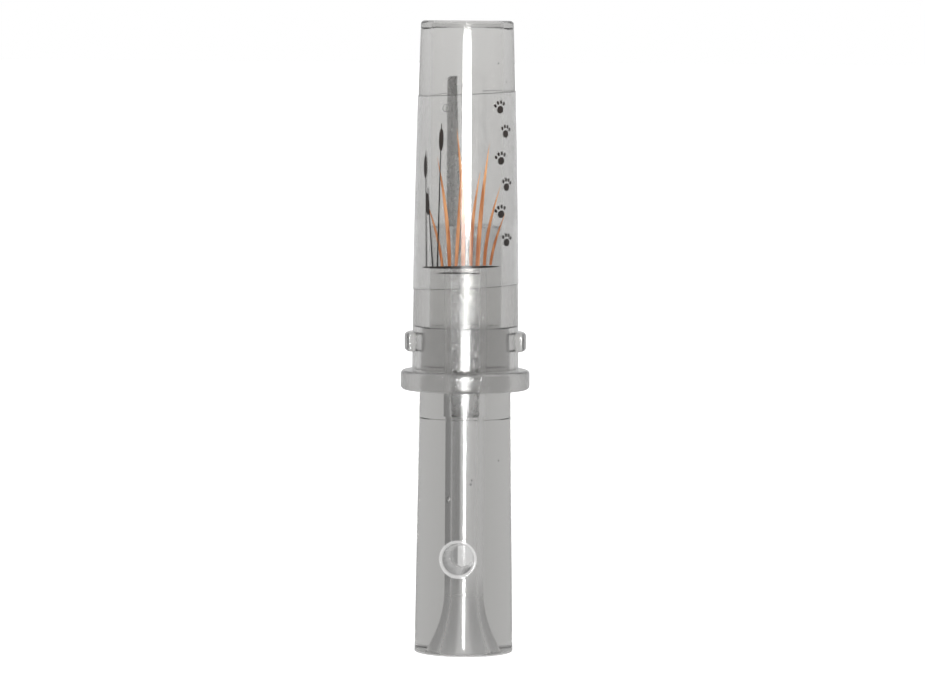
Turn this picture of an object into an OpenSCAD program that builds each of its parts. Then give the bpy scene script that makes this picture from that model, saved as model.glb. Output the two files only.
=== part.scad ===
// Closed-reed predator call. The clear barrel pushes onto a tapered plug on the stopper,
// and the reed unit stands in the stopper's bore inside the barrel.
// Millimetres. The bell end stands on Z = 0 and the mouth points along +Z. The finger hole faces -Y.

/* [Stopper] */
// Length of the grip below the barrel
grip_len = 50.1; // [40:0.1:70]
// Diameter of the grip at the bell end
grip_d = 18.7; // [17.6:0.1:21]
// Diameter of the grip where the barrel begins, which is the wide end of the plug
plug_d = 17.3; // [16.4:0.02:17.6]
// Length of the tapered plug
plug_len = 11.9; // [8:0.1:16]
// How much the plug's diameter shrinks over its length
plug_taper = 0.64; // [0.2:0.02:1]
// Diameter of the straight tenon above the plug
tenon_d = 13.65; // [11:0.05:14]
// Length of the tenon
tenon_len = 19.3; // [12:0.1:26]
// Bevel on the tenon's top edge
tenon_bevel = 0.4; // [0.1:0.1:0.8]
// Rounding of the bell's outer rim
rim_round = 0.3; // [0.2:0.1:1]
// Distance of the fine witness line below the barrel
line_drop = 5.3; // [3:0.1:10]
// Width of the witness line
line_w = 0.3; // [0.2:0.05:0.6]
// Depth of the witness line
line_depth = 0.12; // [0.05:0.01:0.3]

/* [Air way] */
// Diameter of the sound bore
sound_d = 4.9; // [4:0.1:5.1]
// Diameter of the bell's mouth
bell_d = 9.6; // [6:0.1:15]
// Depth of the flare from the bell's mouth to the sound bore
bell_depth = 12; // [8:0.1:13.5]
// Height of the finger hole's centre above the bell end
hole_z = 18.5; // [17.5:0.1:30]
// Diameter of the finger hole at the outer surface
hole_out_d = 7; // [5:0.1:8]
// Diameter of the finger hole where it meets the sound bore
hole_in_d = 4; // [2.5:0.1:4.2]
// Turn of the finger hole from straight ahead
hole_turn = -7.9; // [-30:0.1:30]

/* [Barrel] */
// Length of the barrel
barrel_len = 69.9; // [60:0.1:90]
// Outer diameter just above the flange
barrel_base_d = 20.2; // [19.4:0.05:21]
// Outer diameter under the lip
barrel_mouth_d = 17.5; // [16.4:0.05:19]
// How far the barrel's side swells out from straight, on the radius
barrel_swell = 0.2; // [0.02:0.01:0.4]
// Rounding of the lip's outer edge
lip_round = 0.7; // [0.4:0.1:1.3]
// Rounding of the lip's inner edge
lip_inner_round = 0.45; // [0.2:0.05:0.6]

/* [Lanyard seat] */
// Diameter of the flange at the barrel's lower end
flange_d = 24.5; // [22:0.1:27]
// Height of the flange
flange_h = 3.7; // [2.5:0.1:5]
// Gap between the flange and the ears, where the lanyard's loop sits
seat_gap = 3.6; // [2.5:0.1:5]
// Distance over the two ears
ear_span = 23.1; // [21.8:0.1:27]
// Height of each ear
ear_h = 3.6; // [2.5:0.1:5]
// Width of each ear
ear_w = 8; // [4:0.1:12]
// Rounding of the edges of the flange and the ears
flange_round = 0.7; // [0.3:0.1:1]

/* [Printed film] */
// Height of the film's lower edge above the ears
film_lift = 8.75; // [3:0.05:12]
// Height of the film
film_h = 36.5; // [20:0.1:40]
// How far round the barrel the film goes, in degrees
film_wrap = 312; // [180:1:345]
// How far the film was laid out of level, in degrees
film_skew = 3; // [0:0.1:4]
// Thickness of the film
film_t = 0.1; // [0.05:0.01:0.2]
// Glue line between the film and the barrel
film_gap = 0.02; // [0.01:0.01:0.05]

/* [Reed unit] */
// Diameter of the reed unit's stem
stem_d = 5.3; // [5.2:0.05:6]
// Length of the stem below the top of the tenon
stem_len = 36.3; // [26:0.1:40]
// Diameter of the air hole through the stem
stem_hole_d = 3.4; // [2.5:0.1:3.8]
// Diameter of the half-round sound board
board_d = 7.8; // [6.3:0.1:9]
// Length of the sound board above the tenon
board_len = 28.1; // [20:0.1:34]
// Rounding of the board's tip
board_round = 0.8; // [0.5:0.1:2.4]
// Distance from the call's axis to the face that the reed lies on
lay_x = 1; // [0.4:0.05:1.3]
// Slope of the board's lay away from the reed, in degrees
lay_slope = 1.7; // [1:0.05:3]
// Diameter of the sound channel cut along the lay
channel_d = 2.4; // [1.6:0.1:2.6]
// Distance from the end of the sound channel to the board's tip
channel_end = 3.1; // [2.4:0.1:5]
// Distance from the reed's tip to the board's tip
reed_end = 1.4; // [0.5:0.1:2]
// Thickness of the reed
reed_t = 0.2; // [0.1:0.01:0.3]
// Width of the reed
reed_w = 4.4; // [3.2:0.1:4.6]
// Length of the reed that is held by the wedge
reed_hold = 2.5; // [1:0.1:4]
// Depth of the wedge's top below the top of the tenon
wedge_drop = 2.3; // [1:0.1:5]
// Length of the wedge
wedge_len = 16.4; // [10:0.1:22]
// Bevel on the wedge's lower end
wedge_bevel = 0.8; // [0.3:0.1:1.2]
// Distance from the call's axis to the wedge's flat front
wedge_front = 1.65; // [1.2:0.05:2.2]

/* [Fits] */
// Radial clearance of the plug in the barrel's socket
plug_fit = 0.05; // [0.02:0.01:0.1]
// Radial clearance of the tenon in the barrel's bore
tenon_fit = 0.05; // [0.02:0.01:0.1]
// Radial clearance of the stem in its seat
stem_fit = 0.05; // [0.02:0.01:0.1]
// Clearance between the reed and the sound board
reed_fit = 0.05; // [0.04:0.01:0.1]
// Clearance between the reed and the wedge, which lets the reed rock
wedge_fit = 0.14; // [0.12:0.01:0.25]

/* [Hidden] */

$fn = 96;
eps = 0.01;
far = 60;
arc_steps = 6;
swell_steps = 12;
flare_steps = 14;

plug_top_d = plug_d - plug_taper;
shoulder_z = grip_len + plug_len;
tenon_top_z = shoulder_z + tenon_len;
stem_z = tenon_top_z - stem_len;
seat_d = stem_d + 2 * stem_fit;
line_z = grip_len - line_drop;

lip_z = grip_len + barrel_len;
bore_d = tenon_d + 2 * tenon_fit;
flange_top_z = grip_len + flange_h;
ear_z = flange_top_z + seat_gap;
film_z = ear_z + ear_h + film_lift + film_h / 2;
barrel_side_h = lip_z - flange_top_z;

board_tip_z = tenon_top_z + board_len;
channel_tip_z = board_tip_z - channel_end;
reed_tip_z = board_tip_z - reed_end;
wedge_top_z = tenon_top_z - wedge_drop;
wedge_z = wedge_top_z - wedge_len;
reed_root_z = wedge_top_z - reed_hold;
reed_back_x = -lay_x + reed_fit;
reed_face_x = reed_back_x + reed_t;
wedge_face_x = reed_face_x + wedge_fit;

// Outer radius of the grip at a height
function grip_r(z) = grip_d / 2 + (plug_d - grip_d) / 2 * z / grip_len;

// Outer radius of the barrel's swelling side at a height
function side_share(z) = (z - flange_top_z) / barrel_side_h;
function side_r(z) =
    let (t = side_share(z))
    barrel_base_d / 2 + (barrel_mouth_d - barrel_base_d) / 2 * t + 4 * barrel_swell * t * (1 - t);

// Radius of the bell's flare at a height
function flare_r(z) = sound_d / 2 + (bell_d - sound_d) / 2 * pow(1 - z / bell_depth, 2);

// Points of a quarter round about a centre, from one angle to the next
function round_points(x, z, r, from) =
    [for (i = [0:arc_steps]) let (a = from + 90 * i / arc_steps) [x + r * cos(a), z + r * sin(a)]];

// Outline of a ring with two rounded outer edges, from low to high
function flange_points(z, h, r) =
    concat(
        round_points(r - flange_round, z + flange_round, flange_round, -90),
        round_points(r - flange_round, z + h - flange_round, flange_round, 0));

// Outline of the grip, plug and tenon
module stopper_outline() {
    polygon(concat(
        [[0, 0]],
        round_points(grip_r(rim_round) - rim_round, rim_round, rim_round, -90),
        [
            [grip_r(line_z - line_w / 2), line_z - line_w / 2],
            [grip_r(line_z) - line_depth, line_z],
            [grip_r(line_z + line_w / 2), line_z + line_w / 2],
            [plug_d / 2, grip_len],
            [plug_top_d / 2, shoulder_z],
            [tenon_d / 2, shoulder_z],
            [tenon_d / 2, tenon_top_z - tenon_bevel],
            [tenon_d / 2 - tenon_bevel, tenon_top_z],
            [0, tenon_top_z],
        ]));
}

// Space of the bell's flare
module bell_space() {
    rotate_extrude()
        polygon(concat(
            [[0, -1], [bell_d / 2, -1]],
            [for (i = [0:flare_steps]) let (z = bell_depth * i / flare_steps) [flare_r(z), z]],
            [[0, bell_depth]]));
}

// Cone of the finger hole, from the sound bore outwards
module finger_hole() {
    wall = grip_r(hole_z) - sound_d / 2;
    spread = (hole_out_d - hole_in_d) / wall;
    translate([0, 0, hole_z])
        rotate([90, 0, hole_turn])
            cylinder(h = grip_d, d1 = hole_in_d - spread * sound_d / 2,
                d2 = hole_in_d + spread * (grip_d - sound_d / 2));
}

// Bell, finger hole, tapered plug and tenon, moulded in one
module stopper() {
    color([0.55, 0.56, 0.57, 0.5])
        difference() {
            rotate_extrude() stopper_outline();
            bell_space();
            translate([0, 0, -eps]) cylinder(h = tenon_top_z + 1, d = sound_d);
            translate([0, 0, stem_z]) cylinder(h = tenon_top_z, d = seat_d);
            finger_hole();
        }
}

// Outline of the barrel's outer side, with the flange and the lip
module barrel_outline() {
    side_top_z = lip_z - lip_round;
    polygon(concat(
        [[0, grip_len]],
        flange_points(grip_len, flange_h, flange_d / 2),
        [for (i = [0:swell_steps])
            let (z = flange_top_z + (side_top_z - flange_top_z) * i / swell_steps) [side_r(z), z]],
        round_points(side_r(side_top_z) - lip_round, side_top_z, lip_round, 0),
        [[0, lip_z]]));
}

// Two ears that stand out to the left and right above the flange
module ears() {
    intersection() {
        rotate_extrude()
            polygon(concat([[0, ear_z]], flange_points(ear_z, ear_h, ear_span / 2), [[0, ear_z + ear_h]]));
        translate([0, 0, ear_z]) cube([far, ear_w, far], center = true);
    }
}

// Ring that rounds the inner edge of the lip
module lip_inner_cut() {
    r = bore_d / 2 + lip_inner_round;
    rotate_extrude()
        difference() {
            translate([0, lip_z - lip_inner_round]) square([r, lip_inner_round + 1]);
            translate([r, lip_z - lip_inner_round]) circle(lip_inner_round);
        }
}

// Mouth tube with its swelling side, the flange, the two ears and the socket
module barrel() {
    socket_d = plug_d + 2 * plug_fit;
    socket_top_d = plug_top_d + 2 * plug_fit;
    spread = (socket_d - socket_top_d) / plug_len;
    color([0.75, 0.76, 0.77, 0.4])
        difference() {
            union() {
                rotate_extrude() barrel_outline();
                ears();
            }
            translate([0, 0, grip_len - 1]) cylinder(h = barrel_len + 2, d = bore_d);
            translate([0, 0, grip_len - 1])
                cylinder(h = plug_len + 1, d1 = socket_d + spread, d2 = socket_top_d);
            lip_inner_cut();
        }
}

// Clear film that carries the print, wrapped round the barrel with its seam at the back
module barrel_film() {
    inner = film_gap;
    outer = film_gap + film_t;
    low_z = ear_z + ear_h;
    high_z = lip_z - lip_round;
    rows = [for (i = [0:swell_steps]) low_z + (high_z - low_z) * i / swell_steps];
    color([0.8, 0.55, 0.35, 0.4])
        intersection() {
            rotate([0, 0, -90 - film_wrap / 2])
                rotate_extrude(angle = film_wrap)
                    polygon(concat(
                        [for (z = rows) [side_r(z) + outer, z]],
                        [for (i = [swell_steps:-1:0]) [side_r(rows[i]) + inner, rows[i]]]));
            translate([0, 0, film_z])
                rotate([0, -film_skew, 0])
                    cube([far, far, film_h], center = true);
        }
}

// Outline of the stem and the board, with the board's tip rounded
module tone_board_outline() {
    polygon(concat(
        [
            [0, stem_z],
            [stem_d / 2, stem_z],
            [stem_d / 2, tenon_top_z],
            [board_d / 2, tenon_top_z],
        ],
        round_points(board_d / 2 - board_round, board_tip_z - board_round, board_round, 0),
        [[0, board_tip_z]]));
}

// Stem with its air hole, and the half-round board with the sound channel along its lay
module tone_board() {
    seat_z = wedge_z - reed_fit;
    color([0.32, 0.33, 0.34, 0.8])
        difference() {
            rotate_extrude() tone_board_outline();
            translate([0, 0, stem_z - 1]) cylinder(h = seat_z - stem_z + 1 + eps, d = stem_hole_d);
            translate([-lay_x, -far / 2, seat_z]) cube([far, far, far]);
            translate([-lay_x, 0, wedge_top_z])
                rotate([0, -lay_slope, 0])
                    translate([0, -far / 2, 0]) cube([far, far, far]);
            translate([-lay_x, 0, seat_z - stem_hole_d])
                cylinder(h = channel_tip_z - seat_z + stem_hole_d, d = channel_d);
        }
}

// Thin tongue that lies over the sound channel
module reed() {
    color([0.8, 0.79, 0.75])
        translate([reed_back_x, -reed_w / 2, reed_root_z])
            cube([reed_t, reed_w, reed_tip_z - reed_root_z]);
}

// Wedge with a flat front that fills the other side of the seat and holds the reed
module reed_wedge() {
    color([0.92, 0.92, 0.9])
        difference() {
            translate([0, 0, wedge_z]) cylinder(h = wedge_len, d = stem_d);
            translate([wedge_face_x - far, -far / 2, wedge_z - 1]) cube([far, far, wedge_len + 2]);
            translate([-far / 2, -wedge_front - far, wedge_z - 1]) cube([far, far, wedge_len + 2]);
            translate([wedge_face_x, 0, wedge_z])
                rotate([0, 45, 0])
                    cube([wedge_bevel * sqrt(2), far, wedge_bevel * sqrt(2)], center = true);
        }
}

stopper();
barrel();
barrel_film();
tone_board();
reed();
reed_wedge();
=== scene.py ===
import math

import bmesh
import bpy
from mathutils import Euler, Matrix, Vector


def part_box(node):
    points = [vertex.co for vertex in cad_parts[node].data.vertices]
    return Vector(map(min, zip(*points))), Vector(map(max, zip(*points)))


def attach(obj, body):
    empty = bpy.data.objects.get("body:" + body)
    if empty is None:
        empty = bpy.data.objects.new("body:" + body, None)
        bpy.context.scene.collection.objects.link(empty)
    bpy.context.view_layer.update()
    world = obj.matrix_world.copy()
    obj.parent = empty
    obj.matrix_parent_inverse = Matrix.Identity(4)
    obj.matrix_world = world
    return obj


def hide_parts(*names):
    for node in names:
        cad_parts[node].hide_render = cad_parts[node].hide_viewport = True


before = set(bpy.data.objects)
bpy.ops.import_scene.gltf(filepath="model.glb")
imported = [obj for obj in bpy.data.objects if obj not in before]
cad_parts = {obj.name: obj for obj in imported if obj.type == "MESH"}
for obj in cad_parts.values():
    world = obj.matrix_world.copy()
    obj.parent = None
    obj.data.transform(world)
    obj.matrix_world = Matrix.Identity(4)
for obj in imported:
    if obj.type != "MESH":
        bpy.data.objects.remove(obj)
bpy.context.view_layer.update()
scene = bpy.context.scene
mm = 0.001    # shapes are in millimetres and become metres on the way; camera and studio are in metres
print("frame loaded:", ", ".join(sorted(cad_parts)))


# shared tools for outlines and meshes

def nodeBox(node):
    low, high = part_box(node)
    return low / mm, high / mm


def rowsBetween(low, high, count):
    return [low + (high - low) * i / count for i in range(count + 1)]


def arcPoints(x, z, radius, fromDeg, toDeg, steps=6):
    angles = [math.radians(a) for a in rowsBetween(fromDeg, toDeg, steps)]
    return [(x + radius * math.cos(a), z + radius * math.sin(a)) for a in angles]


def faceOut(bm):
    # all faces of a closed shape look outwards
    bmesh.ops.remove_doubles(bm, verts=bm.verts, dist=1e-4)
    bmesh.ops.recalc_face_normals(bm, faces=bm.faces)
    if bm.calc_volume(signed=True) < 0:
        bmesh.ops.reverse_faces(bm, faces=bm.faces)
    return bm


def turnBy(degrees, axis):
    return Matrix.Rotation(math.radians(degrees), 3, axis)


def spinOutline(points, steps, turn=360, start=0, closed=True):
    bm = bmesh.new()
    verts = [bm.verts.new((x, 0, z)) for x, z in points]
    edges = [bm.edges.new(pair) for pair in zip(verts, verts[1:])]
    if closed:
        edges.append(bm.edges.new((verts[-1], verts[0])))
    bmesh.ops.rotate(bm, verts=verts, cent=(0, 0, 0), matrix=turnBy(start, "Z"))
    bmesh.ops.spin(bm, geom=verts + edges, cent=(0, 0, 0), axis=(0, 0, 1), angle=math.radians(turn),
                   steps=steps, use_merge=turn == 360)
    return faceOut(bm)


def boxShape(low, high):
    bm = bmesh.new()
    size = Vector(high) - Vector(low)
    middle = (Vector(high) + Vector(low)) / 2
    bmesh.ops.create_cube(bm, size=1)
    bmesh.ops.scale(bm, vec=size, verts=bm.verts)
    bmesh.ops.translate(bm, vec=middle, verts=bm.verts)
    return bm


def rodShape(radius, low, high, x=0, segments=96):
    bm = bmesh.new()
    bmesh.ops.create_cone(bm, cap_ends=True, segments=segments, radius1=radius, radius2=radius,
                          depth=high - low)
    bmesh.ops.translate(bm, vec=(x, 0, (low + high) / 2), verts=bm.verts)
    return bm


def bevelEdges(bm, edges, offset, segments=3):
    bmesh.ops.bevel(bm, geom=edges, offset=offset, offset_type="OFFSET", affect="EDGES",
                    segments=segments, profile=0.5, material=-1, clamp_overlap=True)


def sharpEdges(bm, angleDeg):
    return [e for e in bm.edges if e.is_manifold and e.calc_face_angle(0) > math.radians(angleDeg)]


def workObject(bm, name):
    mesh = bpy.data.meshes.new(name)
    bm.to_mesh(mesh)
    bm.free()
    made = bpy.data.objects.new(name, mesh)
    scene.collection.objects.link(made)
    return made


def combine(bm, others, operation):
    # joins or cuts whole shapes and gives the result back as a bmesh
    base = workObject(bm, "workBase")
    helpers = [workObject(other, "workTool") for other in others]
    for helper in helpers:
        step = base.modifiers.new("combine", "BOOLEAN")
        step.object = helper
        step.operation = operation
        step.solver = "EXACT"
    depsgraph = bpy.context.evaluated_depsgraph_get()
    result = bmesh.new()
    result.from_mesh(base.evaluated_get(depsgraph).to_mesh())
    for made in [base] + helpers:
        mesh = made.data
        bpy.data.objects.remove(made)
        bpy.data.meshes.remove(mesh)
    bmesh.ops.remove_doubles(result, verts=result.verts, dist=1e-4)
    return result


def addBubble(bm, place, size, tilt):
    # a cavity inside the moulding, so its faces look inwards
    made = bmesh.ops.create_icosphere(bm, subdivisions=3, radius=0.5)["verts"]
    bmesh.ops.scale(bm, vec=size, verts=made)
    bmesh.ops.rotate(bm, verts=made, cent=(0, 0, 0), matrix=turnBy(tilt, "Y"))
    bmesh.ops.translate(bm, vec=place, verts=made)
    faces = {f for v in made for f in v.link_faces}
    bmesh.ops.reverse_faces(bm, faces=list(faces))


def makePiece(name, bm, body, material, node=None, sharpDeg=28):
    bmesh.ops.scale(bm, vec=(mm, mm, mm), verts=bm.verts)
    for face in bm.faces:
        face.smooth = True
    for edge in sharpEdges(bm, sharpDeg):
        edge.smooth = False
    piece = workObject(bm, name)
    piece.data.materials.append(material)
    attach(piece, body)
    if node:
        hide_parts(node)
    print("made", name, "with", len(piece.data.polygons), "faces")


# shared tools for materials
white = (1, 1, 1, 1)
plasticIor = 1.5


def setInputs(tree, node, inputs):
    for key, value in inputs.items():
        if isinstance(value, bpy.types.NodeSocket):
            tree.links.new(value, node.inputs[key])
        else:
            node.inputs[key].default_value = value


def addNode(tree, kind, inputs=None, **settings):
    node = tree.nodes.new(kind)
    for key, value in settings.items():
        setattr(node, key, value)
    setInputs(tree, node, inputs or {})
    return node


def newMaterial(name):
    material = bpy.data.materials.new(name)
    material.use_nodes = True
    tree = material.node_tree
    return material, tree, tree.nodes["Principled BSDF"]


def objectPlace(tree):
    return addNode(tree, "ShaderNodeTexCoord").outputs["Object"]


def placeAlong(tree, place, axis):
    return addNode(tree, "ShaderNodeSeparateXYZ", {0: place}).outputs[axis]


def axisDistance(tree, place, keep=(1, 1, 0)):
    flat = addNode(tree, "ShaderNodeVectorMath", {0: place, 1: keep}, operation="MULTIPLY")
    length = addNode(tree, "ShaderNodeVectorMath", {0: flat.outputs["Vector"]}, operation="LENGTH")
    return length.outputs["Value"]


def mathNode(tree, operation, first, second=0.0, clamp=False):
    made = addNode(tree, "ShaderNodeMath", {0: first, 1: second}, operation=operation, use_clamp=clamp)
    return made.outputs[0]


def mixNode(tree, share, first, second):
    return addNode(tree, "ShaderNodeMix", {0: share, 2: first, 3: second}).outputs[0]


def mixColour(tree, share, first, second):
    return addNode(tree, "ShaderNodeMix", {0: share, 6: first, 7: second}, data_type="RGBA").outputs[2]


def rangeNode(tree, value, fromLow, fromHigh, toLow, toHigh):
    inputs = {"Value": value, "From Min": fromLow, "From Max": fromHigh, "To Min": toLow, "To Max": toHigh}
    return addNode(tree, "ShaderNodeMapRange", inputs).outputs["Result"]


def stepNode(tree, value, low, high, before=0.0, after=1.0):
    # goes from one level to another between two places in millimetres
    return rangeNode(tree, value, low * mm, high * mm, before, after)


def noiseNode(tree, place, scale, detail=2.0, roughness=0.5):
    inputs = {"Vector": place, "Scale": scale, "Detail": detail, "Roughness": roughness}
    return addNode(tree, "ShaderNodeTexNoise", inputs).outputs["Fac"]


def unevenGloss(tree, place, scale, detail, low, high):
    return rangeNode(tree, noiseNode(tree, place, scale, detail), 0.3, 0.75, low, high)


def streaks(tree, place, scale, detail=2.0):
    # noise drawn out along the axis
    stretched = addNode(tree, "ShaderNodeMapping", {"Vector": place, "Scale": scale})
    return noiseNode(tree, stretched.outputs["Vector"], 1.0, detail)


def bumpNode(tree, height, depth, strength=1.0):
    inputs = {"Height": height, "Strength": strength, "Distance": depth * mm}
    return addNode(tree, "ShaderNodeBump", inputs).outputs["Normal"]


def absorb(tree, colour, density):
    # smoke that deepens with the thickness of the plastic
    volume = addNode(tree, "ShaderNodeVolumeAbsorption", {"Color": colour, "Density": density})
    tree.links.new(volume.outputs["Volume"], tree.nodes["Material Output"].inputs["Volume"])


def glassy(tree, shader):
    setInputs(tree, shader, {"Base Color": white, "Transmission Weight": 1, "IOR": plasticIor})


# camera at the photo's angle: level with the lip, looking a little down
view = {
    "distance": 0.87,
    "height": 0.12,
    "aim": (-0.00054, 0, 0.0582),
    "lens": 178.6,
    "sensor": 36,
    "roll": 0.36,
}


def makeCamera():
    camera = bpy.data.objects.new("camera", bpy.data.cameras.new("camera"))
    camera.data.lens = view["lens"]
    camera.data.sensor_width = view["sensor"]
    aim = Vector(view["aim"])
    camera.location = (aim.x, -view["distance"], view["height"])
    turn = (aim - camera.location).to_track_quat("-Z", "Y").to_matrix()
    camera.rotation_euler = (turn @ turnBy(view["roll"], "Z")).to_euler()
    scene.collection.objects.link(camera)
    scene.camera = camera


makeCamera()


# studio: white surroundings, four soft boxes behind the camera, a pale floor and two grey cards
studio = {
    "throughLevel": 0.86,    # the surroundings as seen through the plastic
    "glossLevel": 0.6,    # and as mirrored in it
    "ambient": 0.7,    # and as plain light
    "frontDim": 0.8,
    "frontFade": (-0.8, 0.4),
    "overDim": 0.95,
    "overFade": (0.3, 0.9),
    "boxes": {"upperBox": {"low": 0.071, "high": 0.186, "width": 0.44, "radiance": 30},
              "middleBox": {"low": -0.0145, "high": 0.006, "width": 0.44, "radiance": 30},
              "lowerBox": {"low": -0.17, "high": -0.0145, "width": 0.13, "radiance": 30},
              "fillBox": {"low": -0.018, "high": 0.03, "width": 1.5, "radiance": 3.5}},
    "boxDistance": 1.2,
    "floorSize": 12,
    "floorGrey": (0.8, 0.8, 0.8, 1),
    "floorGlow": 0.72,
    "bounces": 32,
    # angles round the axis and heights on the grip, in degrees and millimetres
    "cards": {"shadeLeft": {"from": 105, "to": 185, "low": 1.5, "high": 49,
                            "fade": (11, 15), "lowGrey": 0.5, "grey": 0.37},
              "bellRight": {"from": 0, "to": 75, "low": 1.5, "high": 14,
                            "fade": (8, 14), "lowGrey": 0.57, "grey": 0.84}},
    "cardGap": 0.35,
    "cardSteps": 12,
}


def makeWorld():
    world = bpy.data.worlds.new("studio")
    scene.world = world
    world.use_nodes = True
    tree = world.node_tree
    direction = addNode(tree, "ShaderNodeTexCoord").outputs["Generated"]
    tilt = mathNode(tree, "ABSOLUTE", placeAlong(tree, direction, "Z"))
    front = rangeNode(tree, placeAlong(tree, direction, "Y"), *studio["frontFade"], studio["frontDim"], 1.0)
    over = rangeNode(tree, tilt, *studio["overFade"], 1.0, studio["overDim"])
    dim = mathNode(tree, "MULTIPLY", front, over)
    through = mathNode(tree, "MULTIPLY", dim, studio["throughLevel"])
    gloss = mathNode(tree, "MULTIPLY", dim, studio["glossLevel"])
    ray = addNode(tree, "ShaderNodeLightPath").outputs
    level = mixNode(tree, ray["Is Glossy Ray"], studio["ambient"], gloss)
    level = mixNode(tree, ray["Is Transmission Ray"], level, through)
    level = mixNode(tree, ray["Is Camera Ray"], level, 1.0)
    setInputs(tree, tree.nodes["Background"], {"Color": white, "Strength": level})


def makeSoftBox(name, look):
    lamp = bpy.data.lights.new(name, "AREA")
    lamp.shape = "RECTANGLE"
    lamp.size = look["width"]
    lamp.size_y = look["high"] - look["low"]
    lamp.energy = look["radiance"] * lamp.size * lamp.size_y * math.pi
    box = bpy.data.objects.new(name, lamp)
    box.location = (0, -studio["boxDistance"], (look["low"] + look["high"]) / 2)
    box.rotation_euler = (math.radians(90), 0, 0)
    box.visible_camera = False
    scene.collection.objects.link(box)


def makeFloor():
    bm = bmesh.new()
    bmesh.ops.create_grid(bm, x_segments=1, y_segments=1, size=studio["floorSize"])
    floor = workObject(bm, "floor")
    material, tree, shader = newMaterial("floorPaper")
    camera = addNode(tree, "ShaderNodeLightPath").outputs["Is Camera Ray"]
    setInputs(tree, shader, {
        "Base Color": studio["floorGrey"],
        "Roughness": 0.9,
        "Emission Color": white,
        "Emission Strength": mathNode(tree, "MULTIPLY", camera, studio["floorGlow"]),
    })
    floor.data.materials.append(material)
    floor.visible_glossy = False
    floor.visible_transmission = False
    floor.visible_shadow = False


makeWorld()
for boxName, boxLook in studio["boxes"].items():
    makeSoftBox(boxName, boxLook)
makeFloor()
scene.view_settings.view_transform = "Standard"
scene.cycles.max_bounces = studio["bounces"]
scene.cycles.transmission_bounces = studio["bounces"]
scene.cycles.glossy_bounces = studio["bounces"]
print("studio and camera placed")


# stopper: bell, finger hole, grip, plug and tenon in one smoky moulding
stopperHigh = nodeBox("stopper")[1]
barrelLow, barrelHigh = nodeBox("barrel")
boardLow, boardHigh = nodeBox("tone_board")
wedgeLow, wedgeHigh = nodeBox("reed_wedge")

stopper = {
    "gripFoot": stopperHigh.x,
    "gripTop": 8.65,
    "gripLength": barrelLow.z,
    "rimRound": 0.15,
    "lineHeight": barrelLow.z - 5.3,
    "lineWidth": 0.2,
    "lineDepth": 0.1,
    "plugTop": 8.33,
    "shoulder": barrelLow.z + 11.9,
    "shoulderRound": 0.25,
    "tenon": 6.825,
    "tenonTop": stopperHigh.z,
    "tenonBevel": 0.4,
    "seat": 2.7,
    "seatFloor": boardLow.z,
    "seatBevel": 0.25,
    "bore": 2.45,
    "bellMouth": 4.8,
    "bellDepth": 12.0,
    "holeHeight": 18.5,
    "holeInner": 2.0,
    "holeOuter": 3.05,
    "holeRound": 0.45,
    "holeRimAngles": (18, 36, 54, 70),
    "holeTurn": -7.9,
    "segments": 192,
    # place, size and tilt of each small bubble in the wall
    "bubbles": [((-2.65, -5.55, 29.6), (0.7, 0.5, 1.2), 12),
                ((1.2, -5.55, 33.3), (0.3, 0.3, 0.35), 0),
                ((1.0, -5.55, 32.5), (0.4, 0.4, 0.4), 0),
                ((5.8, -4.2, 36.9), (0.3, 0.3, 0.3), 0)],
}


def gripRadius(z):
    return stopper["gripFoot"] + (stopper["gripTop"] - stopper["gripFoot"]) * z / stopper["gripLength"]


def flareRadius(z):
    return stopper["bore"] + (stopper["bellMouth"] - stopper["bore"]) * (1 - z / stopper["bellDepth"]) ** 2


def stopperOutline():
    s = stopper
    holeReach = s["holeOuter"] + 2
    groove = s["lineWidth"] / 2
    side = rowsBetween(s["holeHeight"] - holeReach, s["holeHeight"] + holeReach, 28)
    side = rowsBetween(2, side[0] - 1, 6) + side + rowsBetween(side[-1] + 1, s["lineHeight"] - 1, 8)
    outer = arcPoints(gripRadius(s["rimRound"]) - s["rimRound"], s["rimRound"], s["rimRound"], -90, 0)
    outer += [(gripRadius(z), z) for z in side]
    outer += [(gripRadius(s["lineHeight"] - groove), s["lineHeight"] - groove),
              (gripRadius(s["lineHeight"]) - s["lineDepth"], s["lineHeight"]),
              (gripRadius(s["lineHeight"] + groove), s["lineHeight"] + groove)]
    plug = rowsBetween(s["gripLength"], s["shoulder"] - s["shoulderRound"], 6)
    plugShare = [i / (len(plug) - 1) for i in range(len(plug))]
    outer += [(s["gripTop"] + (s["plugTop"] - s["gripTop"]) * t, z) for t, z in zip(plugShare, plug)]
    outer += arcPoints(s["plugTop"] - s["shoulderRound"], s["shoulder"] - s["shoulderRound"],
                       s["shoulderRound"], 0, 90, 3)
    outer += [(s["tenon"], z) for z in rowsBetween(s["shoulder"], s["tenonTop"] - s["tenonBevel"], 6)]
    outer += [(s["tenon"] - s["tenonBevel"], s["tenonTop"])]
    inner = [(s["seat"] + s["seatBevel"], s["tenonTop"]), (s["seat"], s["tenonTop"] - s["seatBevel"])]
    inner += [(s["seat"], s["seatFloor"]), (s["bore"], s["seatFloor"])]
    inner += [(s["bore"], z) for z in reversed(rowsBetween(s["bellDepth"], s["seatFloor"] - 1, 24))]
    inner += [(flareRadius(z), z) for z in reversed(rowsBetween(0, s["bellDepth"], 16)[:-1])]
    return outer + inner


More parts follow.
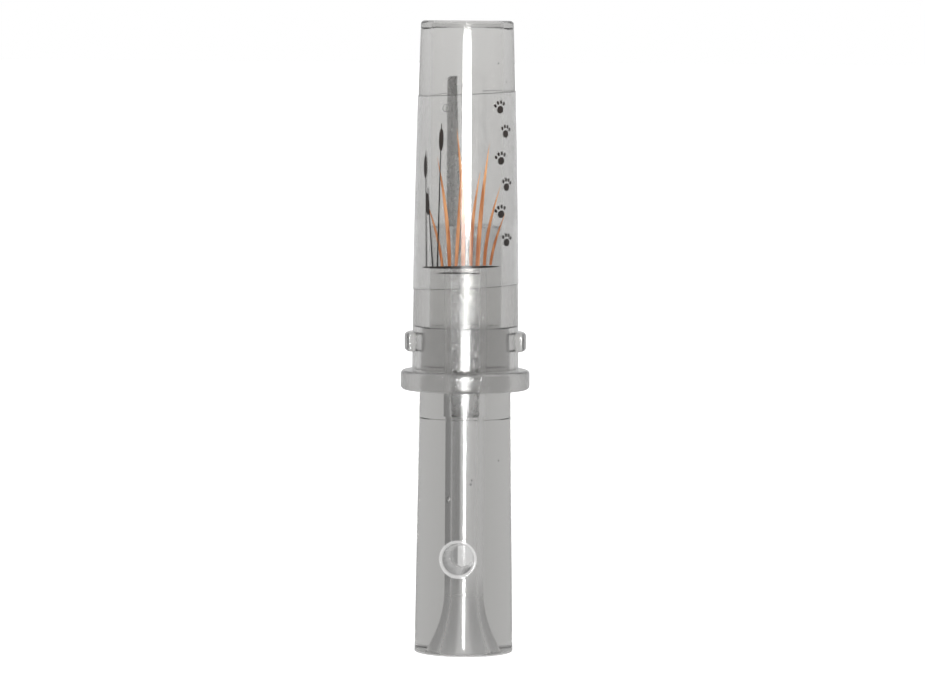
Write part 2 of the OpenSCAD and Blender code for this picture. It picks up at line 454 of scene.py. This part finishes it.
def holeCutter():
    # rings from the axis outwards: a cone, then a rounded rim that follows the grip's round side
    s = stopper
    face = gripRadius(s["holeHeight"])
    slope = (s["holeOuter"] - s["holeInner"]) / (face - s["bore"])
    rings = [(0, s["holeInner"] - slope * s["bore"], 0)]
    rimFoot = face - s["holeRound"]
    rings += [(d, s["holeInner"] + slope * (d - s["bore"]), (d - s["bore"]) / (rimFoot - s["bore"]))
              for d in rowsBetween(s["bore"] + 0.6, rimFoot, 5)]
    rimCentre = rings[-1][1] + s["holeRound"]
    rings += [(rimFoot + s["holeRound"] * math.sin(a), rimCentre - s["holeRound"] * math.cos(a), 1)
              for a in map(math.radians, s["holeRimAngles"])]
    depth, radius, drape = rings[-1]
    runOut = 0.8    # the cutter goes on past the rim, along its slope
    radius += runOut * math.tan(math.radians(s["holeRimAngles"][-1]))
    rings += [(depth + runOut, radius, drape), (face + 2, radius, 0)]
    bm = bmesh.new()
    made = bmesh.ops.create_circle(bm, cap_ends=True, segments=96, radius=rings[0][1])["verts"]
    edges = list({e for v in made for e in v.link_edges})
    ringOf = {v: 0 for v in made}
    for i, ring in enumerate(rings[1:], 1):
        grown = bmesh.ops.extrude_edge_only(bm, edges=edges)["geom"]
        made = [g for g in grown if isinstance(g, bmesh.types.BMVert)]
        edges = [g for g in grown if isinstance(g, bmesh.types.BMEdge)]
        edges = [e for e in edges if all(v in made for v in e.verts)]
        ratio = ring[1] / rings[i - 1][1]
        bmesh.ops.scale(bm, vec=(ratio, ratio, 1), verts=made)
        bmesh.ops.translate(bm, vec=(0, 0, ring[0] - rings[i - 1][0]), verts=made)
        ringOf.update({v: i for v in made})
    bmesh.ops.holes_fill(bm, edges=edges)
    for vert, i in ringOf.items():    # drapes the rim over the round side
        reach = min(abs(vert.co.x), face - 0.5)
        vert.co.z -= rings[i][2] * (face - math.sqrt(face ** 2 - reach ** 2))
    turn = Euler((math.radians(90), 0, math.radians(s["holeTurn"]))).to_matrix()
    bmesh.ops.rotate(bm, verts=bm.verts, cent=(0, 0, 0), matrix=turn)
    bmesh.ops.translate(bm, vec=(0, 0, s["holeHeight"]), verts=bm.verts)
    return faceOut(bm)


smokePlastic = {
    "tint": (0.505, 0.5, 0.488, 1),
    "density": 62.0,
    "skin": (0.79, 0.787, 0.78, 1),    # on the grip
    "gloss": 0.08,
    "frost": 0.04,    # on the plug and the tenon
    "frostGrain": 2600,    # grains to a metre; depths are in millimetres
    "frostDepth": 0.012,
    "boreGloss": 0.2,
    "bellGloss": 0.3,
    "seatGloss": 0.1,
    "seatGrain": 1500,
    "seatDepth": 0.07,
    "rimHaze": 0.52,
    "rimDepth": (-7.5, -7.0),
    "wallHaze": 0.34,
    "wallDepth": (-3.2, -2.8),
    "footHaze": 0.6,
    "streaks": (900, 900, 12),
    "streakShare": 0.02,
    "coat": 0.8,
    "coatGloss": 0.06,
    "coatGrain": 1300,
    "coatDepth": 0.15,
}


def holeRim(tree, place):
    # how clear the plastic is: hazy on the hole's worn rim and a little on its wall
    look = smokePlastic
    edge = stopper["holeOuter"]
    rimEnd = edge + stopper["holeRound"]
    turned = addNode(tree, "ShaderNodeMapping", {
        "Vector": place,
        "Location": (0, 0, -stopper["holeHeight"] * mm),
        "Rotation": (0, 0, math.radians(-stopper["holeTurn"])),
    })
    reach = axisDistance(tree, turned.outputs["Vector"], (1, 0, 1))
    depth = placeAlong(tree, place, "Y")
    rim = mathNode(tree, "MULTIPLY", stepNode(tree, reach, edge - 0.15, edge + 0.05),
                   stepNode(tree, reach, rimEnd, rimEnd + 0.2, 1, 0))
    rim = mathNode(tree, "MULTIPLY", rim, stepNode(tree, depth, *look["rimDepth"], look["rimHaze"], 0))
    wall = mathNode(tree, "MULTIPLY", stepNode(tree, reach, edge - 0.05, edge + 0.15, 1, 0),
                    stepNode(tree, depth, *look["wallDepth"], look["wallHaze"], 0))
    return mathNode(tree, "SUBTRACT", 1.0, mathNode(tree, "ADD", rim, wall), True)


def smokeMaterial(name):
    material, tree, shader = newMaterial(name)
    look = smokePlastic
    glassy(tree, shader)
    place = objectPlace(tree)
    height = placeAlong(tree, place, "Z")
    radius = axisDistance(tree, place)

    # where the grip, the frosted plug and tenon, and the drilled seat are
    gripTop = stopper["gripLength"]
    seatFloor = stopper["seatFloor"]
    outside = stepNode(tree, radius, 5.0, 5.6)
    above = stepNode(tree, height, gripTop - 0.3, gripTop + 0.3)
    frosted = mathNode(tree, "MULTIPLY", outside, above)
    onGrip = mathNode(tree, "SUBTRACT", stepNode(tree, radius, 8.0, 8.2), above, True)
    inSeat = mathNode(tree, "SUBTRACT", stepNode(tree, height, seatFloor, seatFloor + 0.3), outside, True)

    grain = noiseNode(tree, place, look["frostGrain"], 3.0)
    gloss = unevenGloss(tree, place, 180, 3.0, look["gloss"] - 0.02, look["gloss"] + 0.03)
    frost = rangeNode(tree, grain, 0.3, 0.7, look["frost"] - 0.02, look["frost"] + 0.04)
    airWay = stepNode(tree, height, 10, 13, look["bellGloss"], look["boreGloss"])
    inner = mixNode(tree, inSeat, airWay, look["seatGloss"])
    outer = mixNode(tree, frosted, gloss, frost)
    foot = stepNode(tree, height, 0.1, 0.4, 1 - look["footHaze"], 1)    # scuffed where the call stands

    moulded = mathNode(tree, "MULTIPLY", streaks(tree, place, look["streaks"]), look["streakShare"])
    drilled = mathNode(tree, "MULTIPLY", noiseNode(tree, place, look["seatGrain"], 3.0, 0.6),
                       look["seatDepth"] / look["frostDepth"])
    relief = mixNode(tree, inSeat, mixNode(tree, frosted, moulded, grain), drilled)
    setInputs(tree, shader, {
        "Base Color": mixColour(tree, onGrip, white, look["skin"]),
        "Roughness": mixNode(tree, outside, inner, outer),
        "Transmission Weight": mathNode(tree, "MULTIPLY", holeRim(tree, place), foot),
        "Normal": bumpNode(tree, relief, look["frostDepth"]),
        "Coat Weight": mathNode(tree, "MULTIPLY", frosted, look["coat"]),
        "Coat Roughness": look["coatGloss"],
        "Coat Normal": bumpNode(tree, noiseNode(tree, place, look["coatGrain"]), look["coatDepth"]),
    })
    absorb(tree, look["tint"], look["density"])
    return material


def makeStopper():
    bm = spinOutline(stopperOutline(), stopper["segments"])
    for vert in bm.verts:    # the fine line fades out at the back
        if abs(vert.co.z - stopper["lineHeight"]) < 1e-3 and vert.co.y > 0:
            size = gripRadius(vert.co.z) / math.hypot(vert.co.x, vert.co.y)
            vert.co = (vert.co.x * size, vert.co.y * size, vert.co.z)
    bm = combine(bm, [holeCutter()], "DIFFERENCE")
    for place, size, tilt in stopper["bubbles"]:
        addBubble(bm, place, size, tilt)
    makePiece("stopperMoulding", bm, "stopper", smokeMaterial("smokePlastic"), "stopper")


makeStopper()


# grey cards close behind the grip stand in for the shade of the call's surroundings
def makeCard(name, look):
    outline = [(gripRadius(z) + studio["cardGap"], z) for z in (look["low"], look["high"])]
    bm = spinOutline(outline, studio["cardSteps"], turn=look["to"] - look["from"], start=look["from"],
                     closed=False)
    bmesh.ops.scale(bm, vec=(mm, mm, mm), verts=bm.verts)
    card = workObject(bm, name)
    material, tree, shader = newMaterial(name)
    height = placeAlong(tree, objectPlace(tree), "Z")
    setInputs(tree, shader, {
        "Base Color": (0, 0, 0, 1),
        "Specular IOR Level": 0,
        "Emission Color": white,
        "Emission Strength": stepNode(tree, height, *look["fade"], look["lowGrey"], look["grey"]),
    })
    card.data.materials.append(material)
    card.visible_camera = False
    card.visible_diffuse = False
    card.visible_glossy = False
    card.visible_shadow = False


for cardName, cardLook in studio["cards"].items():
    makeCard(cardName, cardLook)


# barrel: clear mouth tube with the flange, two ears and the socket for the plug
filmLow, filmHigh = nodeBox("barrel_film")

barrel = {
    "foot": barrelLow.z,
    "lip": barrelHigh.z,
    "base": 10.1,
    "mouth": 8.75,
    "swell": 0.2,
    "lipRound": 0.7,
    "lipInnerRound": 0.45,
    "lipLine": 1.55,
    "lipLineHalf": 0.12,
    "lipLineDepth": 0.09,
    "bore": 6.875,
    "socketFoot": 8.7,
    "socketTop": 8.38,
    "socketBevel": 0.3,
    "shoulder": stopper["shoulder"],
    "flange": barrelHigh.x,
    "flangeHeight": 3.7,
    "flangeRound": 0.7,
    "fillet": 0.25,
    "earReach": 11.55,
    "earFoot": barrelLow.z + 7.3,
    "earHeight": 3.6,
    "earWidth": 8.0,
    "earRound": 0.6,
    "earRoot": 0.8,
    "earShift": 0.3,    # keeps the ears' rows off the tube's rows
    "segments": 192,
    # place, size and tilt of each small bubble in the wall
    "bubbles": [((-3.95, -8.2, 103.6), (1.4, 0.5, 1.5), 20),
                ((5.7, -6.1, 112.0), (0.3, 0.3, 0.35), 0),
                ((7.1, -4.6, 108.5), (0.25, 0.25, 0.3), 0),
                ((-8.4, -3.2, 77.0), (0.3, 0.3, 0.8), 15)],
}


def sideRadius(z):
    b = barrel
    t = (z - b["foot"] - b["flangeHeight"]) / (b["lip"] - b["foot"] - b["flangeHeight"])
    return b["base"] + (b["mouth"] - b["base"]) * t + 4 * b["swell"] * t * (1 - t)


def flangeOutline(foot, height, reach):
    r = barrel["flangeRound"]
    low = arcPoints(reach - r, foot + r, r, -90, 0)
    return low + arcPoints(reach - r, foot + height - r, r, 0, 90)


def barrelOutline():
    b = barrel
    flangeTop = b["foot"] + b["flangeHeight"]
    sideTop = b["lip"] - b["lipRound"]
    line = b["lip"] - b["lipLine"]
    lineEnd = line + b["lipLineHalf"]
    outer = [(b["socketFoot"] + b["socketBevel"], b["foot"])]
    outer += flangeOutline(b["foot"], b["flangeHeight"], b["flange"])
    outer += arcPoints(sideRadius(flangeTop) + b["fillet"], flangeTop + b["fillet"], b["fillet"],
                       270, 180, 3)
    outer += [(sideRadius(z), z) for z in rowsBetween(flangeTop + 1, line - b["lipLineHalf"], 36)]
    outer += [(sideRadius(line) - b["lipLineDepth"], line), (sideRadius(lineEnd), lineEnd)]
    outer += [(sideRadius(sideTop), sideTop)]
    outer += arcPoints(sideRadius(sideTop) - b["lipRound"], sideTop, b["lipRound"], 0, 90, 10)[1:]
    inner = arcPoints(b["bore"] + b["lipInnerRound"], b["lip"] - b["lipInnerRound"], b["lipInnerRound"],
                      90, 180)
    inner += [(b["bore"], z) for z in reversed(rowsBetween(b["shoulder"], b["lip"] - 1, 30))]
    inner += [(b["socketTop"], b["shoulder"]), (b["socketFoot"], b["foot"] + b["socketBevel"])]
    return outer + inner


def earShapes():
    # each ear is a sector of a ring, drawn in at both ends so that its corners are round
    b = barrel
    top = b["earFoot"] + b["earHeight"]
    middle = (b["earFoot"] + top) / 2
    core = b["base"] - b["earRoot"]
    outline = flangeOutline(b["earFoot"], b["earHeight"], b["earReach"])
    outline = [(core, b["earFoot"])] + outline + [(core, top)]
    turn = 2 * math.asin(b["earWidth"] / 2 / b["earReach"])
    shapes = []
    for side in (0, 180):
        bm = spinOutline(outline, 60, turn=math.degrees(turn), start=b["earShift"] - math.degrees(turn) / 2)
        bmesh.ops.holes_fill(bm, edges=[e for e in bm.edges if e.is_boundary])
        for vert in bm.verts:
            angle = math.atan2(vert.co.y, vert.co.x) - math.radians(b["earShift"])
            toEnd = (turn / 2 - abs(angle)) * b["earReach"]
            corner = max(0, b["earRound"] - toEnd)
            pull = b["earRound"] - math.sqrt(max(0, b["earRound"] ** 2 - corner ** 2))
            radius = math.hypot(vert.co.x, vert.co.y)
            size = 1 - pull * (radius - core) / (b["earReach"] - core) / radius
            height = middle + (vert.co.z - middle) * (1 - 2 * pull / b["earHeight"])
            vert.co = (vert.co.x * size, vert.co.y * size, height)
        bmesh.ops.rotate(bm, verts=bm.verts, cent=(0, 0, 0), matrix=turnBy(side, "Z"))
        shapes.append(faceOut(bm))
    return shapes


clearPlastic = {
    "tint": (0.505, 0.5, 0.488, 1),
    "density": 150.0,
    "skin": (0.96, 0.957, 0.95, 1),
    "shadeSkin": (0.77, 0.767, 0.76, 1),    # painted shade round the plug and, in part, on the lip
    "lipShadeShare": 0.6,
    "lipHaze": 0.35,
    "gloss": 0.07,
    "seatGloss": 0.2,    # on the flange and the ears
    "seatHaze": 0.06,
    "streaks": (700, 700, 10),
    "streakDepth": 0.0008,
    "coat": 0.8,
    "coatGloss": 0.02,
    "coatGrain": 1000,
    "coatDepth": 0.4,
}


def clearMaterial(name):
    material, tree, shader = newMaterial(name)
    look = clearPlastic
    glassy(tree, shader)
    place = objectPlace(tree)
    height = placeAlong(tree, place, "Z")
    radius = axisDistance(tree, place)
    lip = barrel["lip"]
    lipFoot = lip - barrel["lipLine"]
    shoulder = barrel["shoulder"]
    tenonTop = stopper["tenonTop"]

    onSeat = stepNode(tree, radius, 10.25, 10.45)
    # painted shade: a darker skin below the shoulder, round the plug but not on the flange and the ears,
    # and in part on the lip
    low = stepNode(tree, height, shoulder - 0.5, shoulder + 0.5, 1, 0)
    low = mathNode(tree, "SUBTRACT", low, onSeat, True)
    low = mathNode(tree, "ADD", low, stepNode(tree, height, lipFoot, lipFoot + 0.1, 0, look["lipShadeShare"]))
    gloss = unevenGloss(tree, place, 160, 4.0, look["gloss"] - 0.02, look["gloss"] + 0.03)
    clear = mathNode(tree, "MULTIPLY", mixNode(tree, onSeat, 1.0, 1 - look["seatHaze"]),
                     stepNode(tree, height, lip - 0.4, lip - 0.1, 1, 1 - look["lipHaze"]))
    # a fine grain in the gloss of the outside, as high as the tenon reaches
    grained = mathNode(tree, "MULTIPLY", stepNode(tree, height, tenonTop + 0.2, tenonTop + 1.7, 1, 0),
                       stepNode(tree, radius, 9.2, 9.5))
    setInputs(tree, shader, {
        "Base Color": mixColour(tree, low, look["skin"], look["shadeSkin"]),
        "Roughness": mixNode(tree, onSeat, gloss, look["seatGloss"]),
        "Transmission Weight": clear,
        "Normal": bumpNode(tree, streaks(tree, place, look["streaks"]), look["streakDepth"]),
        "Coat Weight": mathNode(tree, "MULTIPLY", grained, look["coat"]),
        "Coat Roughness": look["coatGloss"],
        "Coat Normal": bumpNode(tree, noiseNode(tree, place, look["coatGrain"]), look["coatDepth"]),
    })
    absorb(tree, look["tint"], look["density"])
    return material


def makeBarrel():
    bm = combine(spinOutline(barrelOutline(), barrel["segments"]), earShapes(), "UNION")
    for place, size, tilt in barrel["bubbles"]:
        addBubble(bm, place, size, tilt)
    makePiece("barrelTube", bm, "barrel", clearMaterial("clearPlastic"), "barrel")


makeBarrel()


# film: a clear sleeve round the barrel, laid a little out of level, open at the back
film = {
    "middle": (filmLow.z + filmHigh.z) / 2,
    "height": 36.5,
    "wrap": 312,
    "skew": 3.0,
    "gap": 0.02,
    "thick": 0.1,
    "edge": 0.15,
    "edgeGrey": (0.5, 0.5, 0.5, 1),
    "gloss": (0.04, 0.08),
}


def skewHeight(x, v):
    skew = math.radians(film["skew"])
    return film["middle"] + v / math.cos(skew) + x * math.tan(skew)


def filmMaterial(name):
    # clear, with a grey line where the film was cut
    material, tree, shader = newMaterial(name)
    glassy(tree, shader)
    place = objectPlace(tree)
    slant = mathNode(tree, "MULTIPLY", placeAlong(tree, place, "X"), math.tan(math.radians(film["skew"])))
    level = mathNode(tree, "SUBTRACT", placeAlong(tree, place, "Z"), slant)
    level = mathNode(tree, "ABSOLUTE", mathNode(tree, "SUBTRACT", level, film["middle"] * mm))
    edge = film["height"] / 2 - film["edge"]
    setInputs(tree, shader, {
        "Base Color": mixColour(tree, stepNode(tree, level, edge, edge + 0.05), white, film["edgeGrey"]),
        "Roughness": unevenGloss(tree, place, 220, 4.0, *film["gloss"]),
    })
    return material


def makeFilm():
    half = film["height"] / 2
    bm = spinOutline([(sideRadius(film["middle"]), v) for v in rowsBetween(-half, half, 24)], 168,
                     turn=film["wrap"], start=-90 - film["wrap"] / 2, closed=False)
    for vert in bm.verts:
        height = skewHeight(vert.co.x, vert.co.z)
        size = (sideRadius(height) + film["gap"]) / math.hypot(vert.co.x, vert.co.y)
        vert.co = (vert.co.x * size, vert.co.y * size, height)
    bmesh.ops.recalc_face_normals(bm, faces=bm.faces)
    bmesh.ops.solidify(bm, geom=bm.faces[:], thickness=-film["thick"])    # grows outwards
    faceOut(bm)
    inside = min(math.hypot(v.co.x, v.co.y) - sideRadius(v.co.z) for v in bm.verts)
    print("film lies", round(inside, 3), "mm off the barrel")
    makePiece("filmSleeve", bm, "barrel", filmMaterial("clearFilm"), "barrel_film")


makeFilm()


# print: copper grass, dark stems with seed heads and a paw trail, laid on the film
ink = {
    "lift": 0.03,
    "layer": 0.02,
    "thick": 0.012,
    "grassFoot": -14.0,
    # foot, width, height, lean and curl of each blade
    "blades": [(-4.4, 0.7, 13, -1.5, -2.6), (-3.0, 0.9, 21, -0.5, -2.4), (-1.8, 0.8, 16, 1.0, -0.4),
               (-0.5, 1.0, 26, 0.4, -1.8), (0.9, 0.8, 18, -0.2, 2.0), (2.1, 1.0, 23, 0.8, 1.6),
               (3.4, 0.8, 15, 0.6, 3.0), (4.6, 0.7, 10, 1.4, 2.2)],
    # foot, height and lean of each dark stem
    "stems": [(-8.0, 22, -0.8), (-6.4, 15, -1.6), (-5.4, 27, 0.4)],
    "stemWidth": 0.3,
    "headWidth": 1.0,
    "headLength": 4.4,
    # place and turn of each print of the trail
    "paws": [(8.4, -10.0, 8), (7.0, -4.6, -12), (8.5, 0.4, 10), (7.1, 5.4, -10), (8.4, 10.4, 8),
             (7.0, 15.0, -8)],
    "pawSize": 1.55,
    # the pad and the four toes as shares of the print's size, and the toes' angles
    "pad": (1.0, 0.95),
    "toe": (0.34, 0.5),
    "toeReach": 0.92,
    "toeSteps": (-1.5, -0.5, 0.5, 1.5),
    "toeSpread": 33,
    "toeTurn": 20,
    # left end, right end, drop and width of each line of ground
    "ground": [(-9.4, 6.6, 0.0, 0.5), (-5.5, 2.5, -1.1, 0.3)],
    # colour at the foot and at the tip
    "copper": ((0.3, 0.1, 0.035, 1), (0.8, 0.42, 0.2, 1)),
    "dark": ((0.012, 0.009, 0.008, 1), (0.03, 0.022, 0.018, 1)),
    "fade": (-16, 14),
    "streaks": (1500, 1500, 160),
    "gloss": 0.12,
}


def inkStrip(bm, start, end, width, profile, curl=0, rows=16, level=0):
    # a strip along a curved line; u runs round the film and v up it
    grid = bmesh.ops.create_grid(bm, x_segments=4, y_segments=rows, size=1)["verts"]
    run = Vector(end) - Vector(start)
    across = Vector((run.y, -run.x)).normalized()
    for vert in grid:
        t = (vert.co.y + 1) / 2
        place = Vector(start) + run * t + across * (curl * t * t + vert.co.x * width / 2 * profile(t))
        vert.co = (place.x, place.y, level)


def bladeProfile(t):
    return (1 - t) * (0.7 + 1.5 * t)


def stemProfile(t):
    return 1 - 0.4 * t


def ovalProfile(t):
    return math.sqrt(max(0, 1 - (2 * t - 1) ** 2))


def inkOval(bm, middle, size, turn, level=0):
    along = Vector((math.sin(math.radians(turn)), math.cos(math.radians(turn)))) * size[1] / 2
    inkStrip(bm, Vector(middle) - along, Vector(middle) + along, size[0], ovalProfile, rows=12, level=level)


def layInk(bm):
    # wraps the flat drawing round the film and gives it the thickness of ink
    bmesh.ops.remove_doubles(bm, verts=bm.verts, dist=1e-3)
    for vert in bm.verts:
        u, v, level = vert.co
        offset = film["gap"] + film["thick"] + ink["lift"] + level * ink["layer"]
        angle = u / sideRadius(film["middle"])
        x = sideRadius(film["middle"]) * math.sin(angle)
        z = skewHeight(x, v)
        radius = sideRadius(z) + offset
        vert.co = (radius * math.sin(angle), -radius * math.cos(angle), z)
    bmesh.ops.recalc_face_normals(bm, faces=bm.faces)
    bmesh.ops.solidify(bm, geom=bm.faces[:], thickness=ink["thick"])
    return faceOut(bm)


def inkMaterial(name, colours):
    material, tree, shader = newMaterial(name)
    place = objectPlace(tree)
    foot, tip = [film["middle"] + v for v in ink["fade"]]
    share = stepNode(tree, placeAlong(tree, place, "Z"), foot, tip, -0.1, 0.8)
    mottle = rangeNode(tree, streaks(tree, place, ink["streaks"], 4.0), 0.35, 0.65, -0.35, 0.35)
    share = mathNode(tree, "ADD", share, mottle, True)
    setInputs(tree, shader, {"Base Color": mixColour(tree, share, *colours), "Roughness": ink["gloss"]})
    return material


def inkStem(bm, u, height, lean):
    foot = ink["grassFoot"]
    top = (u + lean, foot + height)
    inkStrip(bm, (u, foot), top, ink["stemWidth"], stemProfile, level=3)
    inkOval(bm, (top[0], top[1] - ink["headLength"] * 0.7), (ink["headWidth"], ink["headLength"]),
            math.degrees(math.atan2(lean, height)), level=4)


def inkPaw(bm, u, v, turn):
    size = ink["pawSize"]
    inkOval(bm, (u, v), (size * ink["pad"][0], size * ink["pad"][1]), turn, level=3)
    for step in ink["toeSteps"]:
        angle = math.radians(turn + step * ink["toeSpread"])
        reach = size * ink["toeReach"]
        inkOval(bm, (u + reach * math.sin(angle), v + reach * math.cos(angle)),
                (size * ink["toe"][0], size * ink["toe"][1]), turn + step * ink["toeTurn"], level=4)


def makePrint():
    foot = ink["grassFoot"]
    copper = bmesh.new()
    for i, (u, width, height, lean, curl) in enumerate(ink["blades"]):
        inkStrip(copper, (u, foot), (u + lean, foot + height), width, bladeProfile, curl, level=i % 3)
    makePiece("printCopper", layInk(copper), "barrel",
              inkMaterial("copperInk", ink["copper"]))
    dark = bmesh.new()
    for stem in ink["stems"]:
        inkStem(dark, *stem)
    for left, right, drop, width in ink["ground"]:
        inkStrip(dark, (left, foot + drop), (right, foot + drop), width, ovalProfile, 0.4, 40, level=3)
    for paw in ink["paws"]:
        inkPaw(dark, *paw)
    makePiece("printDark", layInk(dark), "barrel", inkMaterial("darkInk", ink["dark"]))


makePrint()


# reed unit: board with its stem, the reed and the wedge
reedLow, reedHigh = nodeBox("reed")

board = {
    "stem": 2.65,
    "stemBevel": 0.2,
    "round": boardHigh.y,
    "roundBevel": 0.15,
    "foot": boardLow.z,
    "seatTop": wedgeLow.z - 0.05,
    "stemTop": stopperHigh.z,
    "tip": boardHigh.z,
    "tipRound": 0.8,
    "lay": -1.0,
    "laySlope": 1.7,
    "layStart": wedgeHigh.z,
    "hole": 1.7,
    "channel": 1.2,
    "channelTop": boardHigh.z - 3.1,
    "tint": (0.505, 0.5, 0.49, 1),
    "density": 400,
    "gloss": (0.2, 0.34),
    "grain": 1500,
    "grainDepth": 0.01,
    "grainStrength": 0.3,
}


def boardMaterial(name):
    material, tree, shader = newMaterial(name)
    glassy(tree, shader)
    place = objectPlace(tree)
    grain = noiseNode(tree, place, board["grain"], 3.0)
    setInputs(tree, shader, {
        "Roughness": unevenGloss(tree, place, 400, 4.0, *board["gloss"]),
        "Normal": bumpNode(tree, grain, board["grainDepth"], board["grainStrength"]),
    })
    absorb(tree, board["tint"], board["density"])
    return material


def makeBoard():
    b = board
    outline = [(0, b["foot"]), (b["stem"] - b["stemBevel"], b["foot"])]
    outline += [(b["stem"], b["foot"] + b["stemBevel"]), (b["stem"], b["stemTop"])]
    outline += [(b["round"] - b["roundBevel"], b["stemTop"]), (b["round"], b["stemTop"] + b["roundBevel"])]
    outline += arcPoints(b["round"] - b["tipRound"], b["tip"] - b["tipRound"], b["tipRound"], 0, 90)
    outline += [(0, b["tip"])]
    bm = spinOutline(outline, 96, closed=False)
    far = 20    # clear of the board on every side
    flat = boxShape((b["lay"], -far, b["seatTop"]), (far, far, b["tip"] + far))
    slope = boxShape((0, -far, 0), (far, far, 3 * far))
    bmesh.ops.rotate(slope, verts=slope.verts, cent=(0, 0, 0), matrix=turnBy(-b["laySlope"], "Y"))
    bmesh.ops.translate(slope, vec=(b["lay"], 0, b["layStart"]), verts=slope.verts)
    hole = rodShape(b["hole"], b["foot"] - 1, b["seatTop"] + 0.01)
    channel = rodShape(b["channel"], b["seatTop"] - 2 * b["hole"], b["channelTop"], b["lay"], 64)
    bm = combine(bm, [flat, slope, hole, channel], "DIFFERENCE")
    makePiece("toneBoard", bm, "reed_unit", boardMaterial("boardPlastic"), "tone_board")


reed = {
    "tipRound": 1.4,
    "skin": (0.78, 0.78, 0.74, 1),
    "clear": 0.6,
    "gloss": (0.35, 0.6),
    "grain": 3000,
    "grainDepth": 0.02,
    "grainStrength": 0.4,
}


def reedMaterial(name):
    material, tree, shader = newMaterial(name)
    grain = noiseNode(tree, objectPlace(tree), reed["grain"], 3.0)
    setInputs(tree, shader, {
        "Base Color": reed["skin"],
        "Transmission Weight": reed["clear"],
        "Roughness": rangeNode(tree, grain, 0.3, 0.7, *reed["gloss"]),
        "Normal": bumpNode(tree, grain, reed["grainDepth"], reed["grainStrength"]),
    })
    return material


def makeReed():
    bm = boxShape(reedLow, reedHigh)
    corners = [e for e in bm.edges if all(abs(v.co.z - reedHigh.z) < 1e-4 for v in e.verts)]
    corners = [e for e in corners if abs(e.verts[0].co.x - e.verts[1].co.x) > 1e-4]
    bevelEdges(bm, corners, reed["tipRound"], 6)
    makePiece("reedTongue", bm, "reed", reedMaterial("reedStrip"), "reed")


wedge = {
    "edgeRound": 0.12,
    # where the grain turns from dark to pale, and both colours; the dark and pale flecks also paint a
    # speckled sparkle into the colour
    "dark": (0.4, (0.55, 0.55, 0.53, 1)),
    "pale": (0.54, (0.97, 0.97, 0.95, 1)),
    "shine": 0.7,    # strong, so that it still glints through the plastic in front
    "gloss": (0.1, 0.2),
    "grain": 1300,
    "grainDepth": 0.1,
}


def wedgeMaterial(name):
    material, tree, shader = newMaterial(name)
    grain = noiseNode(tree, objectPlace(tree), wedge["grain"], 3.0, 0.6)
    # pale plastic with a grain of dark flecks; the flecks also stand in as painted sparkle
    ramp = addNode(tree, "ShaderNodeValToRGB", {"Fac": grain})
    for element, (position, colour) in zip(ramp.color_ramp.elements, (wedge["dark"], wedge["pale"])):
        element.position = position
        element.color = colour
    setInputs(tree, shader, {
        "Base Color": ramp.outputs["Color"],
        "Metallic": wedge["shine"],
        "Roughness": rangeNode(tree, grain, 0.3, 0.7, *wedge["gloss"]),
        "Normal": bumpNode(tree, grain, wedge["grainDepth"]),
    })
    return material


def makeWedge():
    bm = rodShape(wedgeHigh.x, wedgeLow.z, wedgeHigh.z)
    flatBack = ((wedgeLow.x, 0, 0), (-1, 0, 0))
    flatFront = ((0, wedgeLow.y, 0), (0, -1, 0))
    for place, normal in (flatBack, flatFront):
        cut = bmesh.ops.bisect_plane(bm, geom=bm.verts[:] + bm.edges[:] + bm.faces[:], dist=1e-5,
                                     plane_co=place, plane_no=normal, clear_outer=True)["geom_cut"]
        bmesh.ops.holes_fill(bm, edges=[g for g in cut if isinstance(g, bmesh.types.BMEdge)])
    bevelEdges(faceOut(bm), sharpEdges(bm, 30), wedge["edgeRound"])
    makePiece("reedWedge", bm, "reed_unit", wedgeMaterial("wedgePlastic"), "reed_wedge")


makeBoard()
makeReed()
makeWedge()
